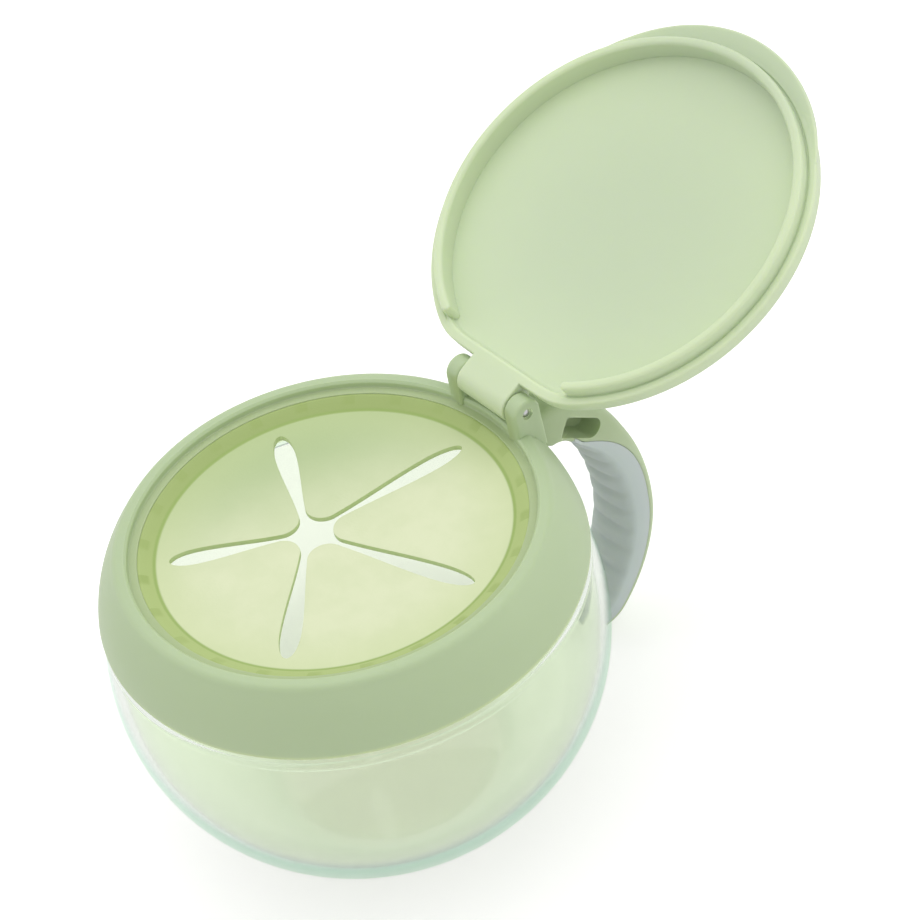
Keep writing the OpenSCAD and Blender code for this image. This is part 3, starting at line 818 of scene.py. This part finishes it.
def make_insert():
    """Soft ring: flange, plug, sloping band with its shallow notches, and the edge of the membrane."""
    least_turn = 0.008
    hole = {}
    for p in hole_outline():
        hole[atan2(p[1], p[0]) % tau] = p.length
    angles = sorted(set(hole) | {tau * i / ROUND for i in range(ROUND)})
    angles = [a for a in angles if a in hole or all(abs(a - b) > least_turn for b in hole)]
    known = sorted(hole)

    def hole_r(a):
        """Radius of the hole's edge at angle a."""
        if a in hole:
            return hole[a]
        k = bisect(known, a)
        start, end = [Vector(round_axis(hole[b], 0, b)) for b in (known[k - 1], known[k % len(known)])]
        line = end - start
        beam = unit(a)
        return (start[0] * line[1] - start[1] * line[0]) / (beam[0] * line[1] - beam[1] * line[0])

    edge = lip_r + 0.02
    plug_low_z = flange_low_z - 2.2
    flange_r = bore_r - 0.3
    under = [(0, membrane_low_z), (ring_r - 0.2, membrane_low_z, 0.5), (ring_r + 0.8, plug_low_z, 0.4),
             (ring_out_r, plug_low_z, 0.4), (ring_out_r, flange_low_z, 0.2), (flange_r, flange_low_z, 0.3)]
    over = [(flange_r, flange_top_z, 0.3), (edge, flange_top_z, 0.2), (edge, lip_top_z - 0.22, 0.1),
            (edge - 0.5, lip_top_z - 0.3, 0.3), (edge - 1.3, lip_top_z - 0.75, 0.2),
            (ring_r + 0.35, membrane_top_z + 0.25, 0.3), (ring_r - 0.3, membrane_top_z, 0.6),
            (0, membrane_top_z)]

    def place(r, z, a):
        """Carries the outline's axis points out to the hole's edge."""
        return round_axis(hole_r(a) if r < 0.01 else r, z, a)

    return lathe("insert_ring_soft", rounded(under + over), angles, place)


# Colours are those of the surfaces in even light, except the painted light and shade noted below


def paint(r, g, b):
    """Colour given as it looks on a screen, from 0 to 255."""
    shares = (r / 255, g / 255, b / 255)
    return tuple(c / 12.92 if c <= 0.04045 else ((c + 0.055) / 1.055) ** 2.4 for c in shares) + (1,)


def give(socket, value):
    """Links a socket to another one, or sets its value."""
    if isinstance(value, bpy.types.NodeSocket):
        socket.id_data.links.new(value, socket)
    else:
        socket.default_value = value


def add(tree, kind, inputs=None, **settings):
    """Node with its settings, and with its inputs set or linked."""
    made = tree.nodes.new("ShaderNode" + kind)
    for key, value in settings.items():
        setattr(made, key, value)
    for key, value in (inputs or {}).items():
        give(made.inputs[key], value)
    return made


def maths(tree, operation, *values):
    """Result of a sum on numbers."""
    return add(tree, "Math", dict(enumerate(values)), operation=operation).outputs[0]


def vectors(tree, operation, *values):
    """Result of a sum on vectors: a number for a dot product or a length, else a vector."""
    made = add(tree, "VectorMath", dict(enumerate(values)), operation=operation)
    return made.outputs["Value" if operation in ("DOT_PRODUCT", "LENGTH") else "Vector"]


def noise(tree, spot, scale, detail):
    """Soft noise over the surface."""
    return add(tree, "TexNoise", {"Vector": spot, "Scale": scale, "Detail": detail}).outputs["Fac"]


def tint(tree, mask, colour, other):
    """Colour turned into the other one where the mask is 1."""
    return add(tree, "Mix", {0: mask, 6: colour, 7: other}, data_type="RGBA").outputs[2]


def effect(name, inputs, outputs):
    """Empty node group with named sockets."""
    tree = bpy.data.node_groups.new(name, "ShaderNodeTree")
    for label, value in inputs.items():
        kind = "NodeSocketColor" if isinstance(value, tuple) else "NodeSocketFloat"
        tree.interface.new_socket(name=label, in_out="INPUT", socket_type=kind).default_value = value
    for label, kind in outputs.items():
        tree.interface.new_socket(name=label, in_out="OUTPUT", socket_type="NodeSocket" + kind)
    return tree, tree.nodes.new("NodeGroupInput").outputs, tree.nodes.new("NodeGroupOutput").inputs


def moulded_skin():
    """Moulded surface: slow drifts of colour, patches of gloss and a fine skin."""
    grey = (0.5, 0.5, 0.5, 1)
    takes = {"Colour": grey, "Drift Colour": grey, "Drift": 0.5, "Drift Scale": 25.0,
             "Roughness": 0.4, "Roughness Spread": 0.1, "Grain Scale": 900.0}
    gives = {"Colour": "Color", "Roughness": "Float", "Height": "Float"}
    tree, given, put = effect("moulded_skin", takes, gives)
    spot = add(tree, "TexCoord").outputs["Object"]
    drift = noise(tree, spot, given["Drift Scale"], 3.0)
    drift = {"Value": drift, "From Min": 0.35, "From Max": 0.65, "To Max": given["Drift"]}
    share = add(tree, "MapRange", drift).outputs[0]
    give(put["Colour"], tint(tree, share, given["Colour"], given["Drift Colour"]))
    patch = maths(tree, "SUBTRACT", noise(tree, spot, 90.0, 4.0), 0.5)
    give(put["Roughness"], maths(tree, "MULTIPLY_ADD", patch, given["Roughness Spread"], given["Roughness"]))
    give(put["Height"], noise(tree, spot, given["Grain Scale"], 2.0))
    return tree


def edge_highlight():
    """Mask of the edges that stand proud, where a moulded part catches light: painted highlights lighten
    them.
    """
    tree, given, put = effect("edge_highlight", {"From": 0.51, "To": 0.56}, {"Mask": "Float"})
    point = add(tree, "NewGeometry").outputs["Pointiness"]
    limits = {"Value": point, "From Min": given["From"], "From Max": given["To"]}
    give(put["Mask"], add(tree, "MapRange", limits, interpolation_type="SMOOTHSTEP").outputs[0])
    return tree


def fade_between():
    """Mask that grows from 0 to 1 as a value goes from one place to another."""
    tree, given, put = effect("fade_between", {"Value": 0.0, "Start": 0.0, "End": 1.0}, {"Mask": "Float"})
    limits = {"Value": given["Value"], "From Min": given["Start"], "From Max": given["End"]}
    give(put["Mask"], add(tree, "MapRange", limits, interpolation_type="SMOOTHSTEP").outputs[0])
    return tree


skin = moulded_skin()
# Painted highlight on the edges that stand proud
edge_highlight_group = edge_highlight()
fade = fade_between()


def set_on(node, **values):
    """Sets or links a node's own sockets."""
    for key, value in values.items():
        give(node.inputs[key.replace("_", " ")], value)


def use(tree, group, **inputs):
    """Places an effect in a material with its own values."""
    made = tree.nodes.new("ShaderNodeGroup")
    made.node_tree = group
    set_on(made, **inputs)
    return made.outputs


def faded(tree, value, start, end):
    """Mask that grows from 0 to 1 as a value goes from start to end."""
    return use(tree, fade, Value=value, Start=start, End=end)["Mask"]


def faded_mm(tree, value, start, end):
    """The same for a length, with its two ends in millimetres."""
    return faded(tree, value, start * MM, end * MM)


def blank(name):
    """New material with a Principled BSDF alone: its nodes, the shader and the output."""
    material = bpy.data.materials.new(name)
    material.use_nodes = True
    tree = material.node_tree
    tree.nodes.clear()
    shader = add(tree, "BsdfPrincipled")
    return tree, shader, add(tree, "OutputMaterial", {"Surface": shader.outputs[0]})


def skinned(name, colour, drift_colour, drift, rough, spread, grain, strength, depth=0.2, drift_scale=25.0):
    """New material with a moulded skin, whose grain has a scale, a strength and a depth in millimetres."""
    tree, shader, out = blank(name)
    made = use(tree, skin, Colour=colour, Drift_Colour=drift_colour, Drift=drift, Drift_Scale=drift_scale,
               Roughness=rough, Roughness_Spread=spread, Grain_Scale=grain)
    bump = add(tree, "Bump", {"Height": made["Height"], "Strength": strength, "Distance": depth * MM})
    set_on(shader, Roughness=made["Roughness"], Normal=bump.outputs[0])
    return tree, shader, out, made["Colour"]


def glow_within(shader, weight):
    """Light that enters opaque plastic and comes out again nearby."""
    set_on(shader, IOR=1.46, Subsurface_Weight=weight, Subsurface_Radius=(1.0, 1.0, 0.6),
           Subsurface_Scale=2 * MM)


def moulded(name, colour, drift_colour, highlight_colour, rough=0.42, spread=0.12, strength=0.05):
    """Opaque moulded plastic with painted highlights that lighten its edges: its nodes, the shader and the
    colour.
    """
    tree, shader, _, colour = skinned(name, colour, drift_colour, 0.6, rough, spread, 1400.0, strength)
    glow_within(shader, 0.35)
    # Painted highlight: edges that stand proud turn to the lighter highlight colour
    lit_edge = use(tree, edge_highlight_group, From=0.53, To=0.6)["Mask"]
    return tree, shader, tint(tree, lit_edge, colour, highlight_colour)


def spot_in(tree):
    """Where a point of the surface is: its vector, its X, Y and Z, and the part of it along the table."""
    spot = add(tree, "TexCoord").outputs["Object"]
    parts = add(tree, "SeparateXYZ", {"Vector": spot}).outputs
    return spot, parts, add(tree, "CombineXYZ", {"X": parts["X"], "Y": parts["Y"]}).outputs[0]


def make_collar_sage():
    """Collar plastic: painted shade on the ledge inside the rim, painted light along the skirt's lower edge
    and a painted glow behind the skirt.
    """
    tree, shader, colour = moulded("sage_collar", paint(180, 198, 158), paint(176, 194, 155),
                                   paint(198, 212, 174))
    _, parts, flat = spot_in(tree)
    radius = vectors(tree, "LENGTH", flat)
    # Painted shade: the ledge inside the rim is deeper in colour
    inside = faded_mm(tree, radius, mouth_r + 0.2, mouth_r - 0.3)
    ledge = maths(tree, "MULTIPLY", inside, faded_mm(tree, parts["Z"], rim_z - 3, rim_z - 2))
    colour = tint(tree, ledge, colour, paint(171, 188, 141))
    # Painted light: the skirt's lower edge is lighter
    low = faded_mm(tree, parts["Z"], skirt_z + 1.1, skirt_z + 0.4)
    # Painted glow on the faces in the closed space behind the thin skirt, standing in for light that comes
    # through it
    normal = add(tree, "NewGeometry").outputs["Normal"]
    beam = vectors(tree, "ADD", vectors(tree, "NORMALIZE", flat), (0, 0, 1))
    behind = faded(tree, vectors(tree, "DOT_PRODUCT", normal, beam), -0.4, -0.8)
    for within in (faded_mm(tree, radius, bore_r + 0.45, bore_r + 1.25),
                   faded_mm(tree, parts["Z"], skirt_z + 0.5, skirt_z + 1.0)):
        behind = maths(tree, "MULTIPLY", behind, within)
    glow = tint(tree, behind, (0, 0, 0, 1), paint(206, 218, 186))
    set_on(shader, Base_Color=tint(tree, low, colour, paint(197, 212, 164)), Emission_Color=glow,
           Emission_Strength=0.35)


def make_handle_sage():
    """Handle plastic: painted light makes the strip outside the grip lighter than the arm."""
    tree, shader, colour = moulded("sage_handle", paint(176, 193, 152), paint(172, 189, 149),
                                   paint(194, 209, 169))
    height = spot_in(tree)[1]["Z"]
    # Painted light: below 60 mm height the handle turns lighter, fully so at 44 mm
    set_on(shader, Base_Color=tint(tree, faded_mm(tree, height, 60, 44), colour, paint(190, 206, 171)))


def make_grip_grey():
    """Soft grey rubber of the grip, duller than the plastic."""
    _, shader, colour = moulded("grip_soft_touch", paint(194, 206, 202), paint(189, 201, 197),
                                paint(197, 207, 204), 0.62, 0.1, 0.1)
    set_on(shader, Base_Color=colour)


def make_pistachio():
    """Lid plastic: pale at its rims, with painted shade that makes it greyer in the deep of its dish and
    towards its tip.
    """
    tree, shader, _, colour = skinned("pistachio_lid", paint(208, 222, 186), paint(203, 217, 182), 0.6,
                                      0.36, 0.12, 1400.0, 0.05)
    glow_within(shader, 0.5)
    spot = spot_in(tree)[0]
    pin = Vector((0, hinge_y, hinge_z))
    dish_out = Vector((0, sin(open_angle), cos(open_angle)))
    front = Vector((0, -cos(open_angle), sin(open_angle)))
    rim_out = dish_out.dot(pin) + lid_edge_z - hinge_z
    middle = front.dot(pin) + hinge_y
    # Painted shade: greyer in the deep of the dish and towards the lid's tip
    deep = faded_mm(tree, vectors(tree, "DOT_PRODUCT", spot, dish_out), rim_out - 2.2, rim_out + 1.6)
    tip = faded_mm(tree, vectors(tree, "DOT_PRODUCT", spot, front), middle + 20, middle + 45)
    colour = tint(tree, deep, colour, paint(194, 208, 178))
    set_on(shader, Base_Color=tint(tree, tip, colour, paint(192, 206, 176)))


def make_clear():
    """Clear cup plastic with a trace of green in its depth."""
    tree, shader, out, colour = skinned("clear_cup_plastic", paint(244, 249, 234), paint(241, 247, 230), 0.5,
                                        0.04, 0.03, 500.0, 0.02)
    spot, parts, flat = spot_in(tree)
    # Seen along the wall the plastic is thick and looks teal, in a broader band low on the bowl
    low_pull = -7.0
    facing = add(tree, "LayerWeight").outputs["Facing"]
    thick = faded(tree, maths(tree, "MULTIPLY_ADD", parts["Z"], low_pull, facing), 0.38, 0.60)
    # Only the outer surface takes that tint, and its normal is turned on the side that faces inward
    surface = add(tree, "NewGeometry").outputs
    from_middle = vectors(tree, "SUBTRACT", spot, (0, 0, cup_widest_z * MM))
    lean = vectors(tree, "DOT_PRODUCT", surface["Normal"], from_middle)
    side = maths(tree, "MULTIPLY_ADD", surface["Backfacing"], -2.0, 1.0)
    thick = maths(tree, "MULTIPLY", thick, faded_mm(tree, maths(tree, "MULTIPLY", lean, side), -1, 1))
    colour = tint(tree, thick, colour, paint(236, 245, 238))
    # Painted light: the thick base is tinted paler and lighter than the wall
    base = faded_mm(tree, vectors(tree, "LENGTH", flat), 28, 21)
    base = maths(tree, "MULTIPLY", base, faded_mm(tree, parts["Z"], 7, 4))
    colour = tint(tree, base, colour, paint(250, 249, 236))
    set_on(shader, Base_Color=colour, IOR=1.38, Transmission_Weight=1.0)
    # Light that would be caught inside the wall goes on through it
    path = add(tree, "LightPath").outputs
    caught = maths(tree, "GREATER_THAN", path["Ray Depth"], 4.5)
    turned = maths(tree, "GREATER_THAN", path["Glossy Depth"], 0.5)
    share = maths(tree, "MULTIPLY", thick, 0.85)
    for passes in (path["Is Shadow Ray"], path["Is Diffuse Ray"], caught, turned):
        share = maths(tree, "MAXIMUM", share, passes)
    passed = tint(tree, thick, (0.99, 0.957, 0.975, 1), (0.925, 0.965, 0.925, 1))
    passing = add(tree, "BsdfTransparent", {"Color": passed})
    both = add(tree, "MixShader", {0: share, 1: shader.outputs[0], 2: passing.outputs[0]})
    depth = add(tree, "VolumeAbsorption", {"Color": (0.5, 0.84, 0.7, 1), "Density": 28.0})
    set_on(out, Surface=both.outputs[0], Volume=depth.outputs[0])


def make_soft():
    """Milky soft plastic of the insert: olive in the band that the collar holds, with painted shade that
    leaves it paler in the middle.
    """
    tree, shader, _, colour = skinned("milky_insert", paint(217, 224, 187), paint(210, 219, 179), 0.7,
                                      0.5, 0.15, 1800.0, 0.12, 0.3, 160.0)
    spot, parts, flat = spot_in(tree)
    radius = vectors(tree, "LENGTH", flat)
    # The far side of the membrane lies in the collar's shade and looks greener
    far_side = (-0.93, 0.36, 0)
    deeper = faded_mm(tree, vectors(tree, "DOT_PRODUCT", spot, far_side), -4, 38)
    colour = tint(tree, deeper, colour, paint(167, 188, 135))
    # Painted shade: the membrane turns greener on its outer part, towards the band
    band_side_shade = maths(tree, "MULTIPLY", faded_mm(tree, radius, 24, ring_r - 0.2), 0.45)
    colour = tint(tree, band_side_shade, colour, paint(200, 213, 160))
    # Painted shade: cut sides and the band, which don't face up, are darker than the flat of the membrane
    normal = add(tree, "NewGeometry").outputs["Normal"]
    side_shade = faded(tree, add(tree, "SeparateXYZ", {"Vector": normal}).outputs["Z"], 0.75, 0.25)
    colour = tint(tree, side_shade, colour, paint(186, 208, 142))
    held = tint(tree, deeper, paint(172, 190, 122), paint(160, 179, 111))
    colour = tint(tree, faded_mm(tree, radius, ring_r - 0.4, ring_r + 0.2), colour, held)
    # Shallow marks at even steps round the band, some fainter than others
    turn = maths(tree, "ARCTAN2", parts["Y"], parts["X"])
    notch = faded(tree, maths(tree, "FRACT", maths(tree, "MULTIPLY", turn, notch_count / tau)), 0.32, 0.18)
    for share in (faded_mm(tree, radius, ring_r + 0.9, ring_r + 1.6), noise(tree, spot, 70.0, 1.0), 1.5):
        notch = maths(tree, "MULTIPLY", notch, share)
    colour = tint(tree, notch, colour, paint(156, 176, 104))
    # Painted shade: a thin dark line in the crease where the membrane meets the band
    line = faded_mm(tree, radius, ring_r - 0.6, ring_r)
    line = maths(tree, "MULTIPLY", line, faded_mm(tree, radius, ring_r + 0.6, ring_r + 0.1))
    set_on(shader, Base_Color=tint(tree, line, colour, paint(150, 174, 98)), IOR=1.41)


def make_steel():
    """Brushed steel of the hinge pin."""
    _, shader, _, colour = skinned("pin_steel_brushed", paint(205, 205, 208), paint(185, 186, 190), 0.5,
                                   0.28, 0.15, 3000.0, 0.08, 0.1)
    set_on(shader, Base_Color=colour, Metallic=1.0)


# Pieces on their bodies


def dress(piece, finish, body, node):
    """Gives a piece its material, its body and the solid it stands for."""
    piece.data.materials.clear()
    piece.data.materials.append(bpy.data.materials[finish])
    if body:
        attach(piece, body)
    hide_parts(node)
    return piece


for make_finish in (make_collar_sage, make_handle_sage, make_grip_grey, make_clear, make_soft, make_steel,
                    make_pistachio):
    make_finish()

dress(make_cup(), "clear_cup_plastic", "cup", "cup")
dress(make_collar(), "sage_collar", "collar", "collar")
dress(make_pin(), "pin_steel_brushed", "collar", "hinge_pin")
dress(make_handle(), "sage_handle", "collar", "handle")
dress(make_grip(), "grip_soft_touch", "collar", "handle_grip")
dress(make_lid(), "pistachio_lid", "lid", "lid")
dress(make_insert(), "milky_insert", "insert", "insert_ring")
for i in range(flap_count):
    node = "flap_%d" % (i + 1)
    flap = dress(make_flap(i), "milky_insert", None, node)
    root = (slot_tip(i) + slot_tip(i + 1)) / 2
    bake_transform(flap)


# Floor, light and camera


def make_floor():
    """Pale floor that keeps the object's shadow."""
    half = 3
    seen_lift = 0.28
    through_lift = 0.11
    both_walls_lift = 0.14
    mesh = bpy.data.meshes.new("floor")
    corners = [(-half, -half, 0), (half, -half, 0), (half, half, 0), (-half, half, 0)]
    mesh.from_pydata(corners, [], [(0, 1, 2, 3)])
    plane = bpy.data.objects.new("floor", mesh)
    bpy.context.scene.collection.objects.link(plane)
    tree, shader, out = blank("studio_floor")
    set_on(shader, Base_Color=(0.93, 0.93, 0.93, 1), Roughness=0.9, IOR=1.2)
    path = add(tree, "LightPath").outputs
    # The base is clearer from inside than through the front wall as well
    both_walls = maths(tree, "GREATER_THAN", path["Transmission Depth"], 3.0)
    through = maths(tree, "MULTIPLY_ADD", both_walls, both_walls_lift, through_lift)
    through = maths(tree, "MULTIPLY", path["Is Transmission Ray"], through)
    lift = maths(tree, "ADD", maths(tree, "MULTIPLY", path["Is Camera Ray"], seen_lift), through)
    glow = add(tree, "Emission", {"Color": (1, 1, 1, 1), "Strength": lift})
    set_on(out, Surface=add(tree, "AddShader", {0: shader.outputs[0], 1: glow.outputs[0]}).outputs[0])
    mesh.materials.append(bpy.data.materials["studio_floor"])


def make_light():
    """White surround, which lights the object a little less than it looks, and soft lamps."""
    world = bpy.data.worlds.new("surround")
    bpy.context.scene.world = world
    world.use_nodes = True
    tree = world.node_tree
    tree.nodes.clear()
    path = add(tree, "LightPath").outputs
    seen = maths(tree, "MAXIMUM", path["Is Camera Ray"], path["Is Glossy Ray"])
    seen = maths(tree, "MAXIMUM", seen, path["Is Transmission Ray"])
    lit = add(tree, "Background", {"Color": (1, 1, 1, 1), "Strength": 0.76})
    white = add(tree, "Background", {"Color": (1, 1, 1, 1), "Strength": 1.0})
    both = add(tree, "MixShader", {0: seen, 1: lit.outputs[0], 2: white.outputs[0]})
    add(tree, "OutputWorld", {"Surface": both.outputs[0]})
    lamp("top_softbox", (-0.10, 0.20, 0.95), 1.2, 3.6)
    lamp("left_softbox", (-0.70, -0.45, 0.50), 0.6, 0.7)
    lamp("right_softbox", (0.55, 0.75, 0.40), 0.6, 1.0)


def lamp(name, place, size, power):
    """Square soft lamp that faces the container."""
    light = bpy.data.lights.new(name, "AREA")
    light.size = size
    light.energy = power
    holder = bpy.data.objects.new(name, light)
    holder.location = place
    middle = Vector((0, 0.01, 0.06))
    aim = middle - Vector(place)
    holder.rotation_euler = aim.to_track_quat("-Z", "Y").to_euler()
    bpy.context.scene.collection.objects.link(holder)


def make_camera():
    """Camera at the photograph's place: its right, up and back directions in the object's frame."""
    stand = Vector((390.48, -203.52, 483.59)) * MM
    right = Vector((0.6312, 0.7586, -0.1616))
    up = Vector((-0.4484, 0.5270, 0.7220))
    back = right.cross(up).normalized()
    up = back.cross(right.normalized())
    view = bpy.data.cameras.new("view")
    view.lens = 116.69
    view.sensor_width = 36
    view.clip_start = 0.01
    holder = bpy.data.objects.new("view", view)
    turn = Matrix((right.normalized(), up, back)).transposed().to_4x4()
    holder.matrix_world = Matrix.Translation(stand) @ turn
    bpy.context.scene.collection.objects.link(holder)
    bpy.context.scene.camera = holder


make_floor()
make_light()
make_camera()
bpy.context.scene.view_settings.view_transform = "Standard"
